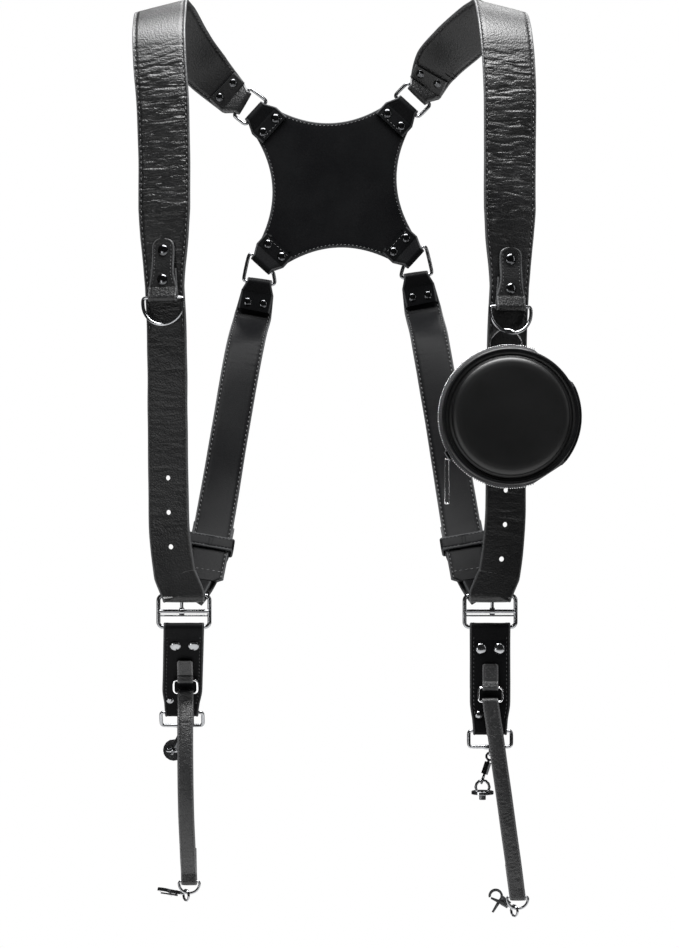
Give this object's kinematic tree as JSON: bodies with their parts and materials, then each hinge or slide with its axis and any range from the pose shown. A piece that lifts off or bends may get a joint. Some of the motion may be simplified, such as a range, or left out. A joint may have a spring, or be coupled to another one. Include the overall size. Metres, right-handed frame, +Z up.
{
  "type": "dual camera carrying harness",
  "caption": "Leather shoulder harness shown as worn, with waisted back plate, hip buckles, drop tabs with screw links, clip tethers and a round zip pouch.",
  "frame": {"origin": "midway between the tops of the two shoulder straps, at the underside of the leather, where it sits on the shoulders", "axes": "+Z up, -Y to the wearer's front, +X to the side that is on the right in a front view"},
  "size_m": [0.4039, 0.2617, 0.8401],
  "materials": {
    "leather": "black full-grain leather with dressed edges and stitching",
    "smooth_leather": "smooth black leather, semi-gloss",
    "bright_wire": "dark nickel plating, polished",
    "dark_rivet": "gunmetal plating, polished dome",
    "pouch_skin": "black pressed shell with satin surface",
    "zip_tape": "black woven zip tape"
  },
  "bodies": {
    "harness": {"back_plate": "smooth_leather", "upper_ring_left": "bright_wire", "lower_ring_left": "bright_wire", "shoulder_strap_left": "leather", "front_tab_left": "leather", "side_strap_left": "smooth_leather", "strap_keeper_left": "leather", "hip_buckle_left": "bright_wire", "buckle_prong_left": "bright_wire", "drop_tab_left": "leather", "square_ring_left": "bright_wire", "screw_link_left": "bright_wire", "camera_screw_left": "bright_wire", "tether_anchor_left": "leather", "tether_ring_left": "bright_wire", "tether_strap_left": "leather", "tether_d_ring_left": "bright_wire", "tether_claw_left": "bright_wire", "tab_rivet_left_1": "dark_rivet", "tab_rivet_left_2": "dark_rivet", "drop_rivet_left_1": "dark_rivet", "drop_rivet_left_2": "dark_rivet", "upper_ring_right": "bright_wire", "lower_ring_right": "bright_wire", "shoulder_strap_right": "leather", "front_tab_right": "leather", "front_d_ring_right": "bright_wire", "side_strap_right": "smooth_leather", "strap_keeper_right": "leather", "hip_buckle_right": "bright_wire", "buckle_prong_right": "bright_wire", "drop_tab_right": "leather", "square_ring_right": "bright_wire", "screw_link_right": "bright_wire", "camera_screw_right": "bright_wire", "tether_anchor_right": "leather", "tether_ring_right": "bright_wire", "tether_strap_right": "leather", "tether_d_ring_right": "bright_wire", "tether_claw_right": "bright_wire", "tab_rivet_right_1": "dark_rivet", "tab_rivet_right_2": "dark_rivet", "drop_rivet_right_1": "dark_rivet", "drop_rivet_right_2": "dark_rivet"},
    "front_ring_left": {"front_d_ring_left": "bright_wire"},
    "pouch": {"pouch_ring": "bright_wire", "pouch_hanger": "leather", "pouch_front": "pouch_skin", "pouch_back": "pouch_skin", "pouch_zip": "zip_tape", "zip_slider": "bright_wire"},
    "lever_left": {"claw_lever_left": "bright_wire"},
    "lever_right": {"claw_lever_right": "bright_wire"}
  },
  "joints": [
    {"name": "front_ring_swing", "type": "hinge", "parent": "harness", "child": "front_ring_left", "pos_m": [-0.14998, -0.0979, -0.27404], "axis": [-0.9511, 0.309, 0], "range_deg": [0, 150]},
    {"name": "pouch_swing", "type": "hinge", "parent": "harness", "child": "pouch", "pos_m": [0.15938, -0.10311, -0.30591], "axis": [-0.9511, -0.309, 0], "range_deg": [0, 45]},
    {"name": "lever_left_press", "type": "hinge", "parent": "harness", "child": "lever_left", "pos_m": [-0.14068, -0.0527, -0.81476], "axis": [0.1677, 0.2588, 0.9513], "range_deg": [0, 25], "stiffness_Nm_per_rad": 0.02, "springref_deg": -28.65},
    {"name": "lever_right_press", "type": "hinge", "parent": "harness", "child": "lever_right", "pos_m": [0.15714, -0.08907, -0.81971], "axis": [0, 1, 0], "range_deg": [0, 25], "stiffness_Nm_per_rad": 0.02, "springref_deg": -28.65}
  ]
}
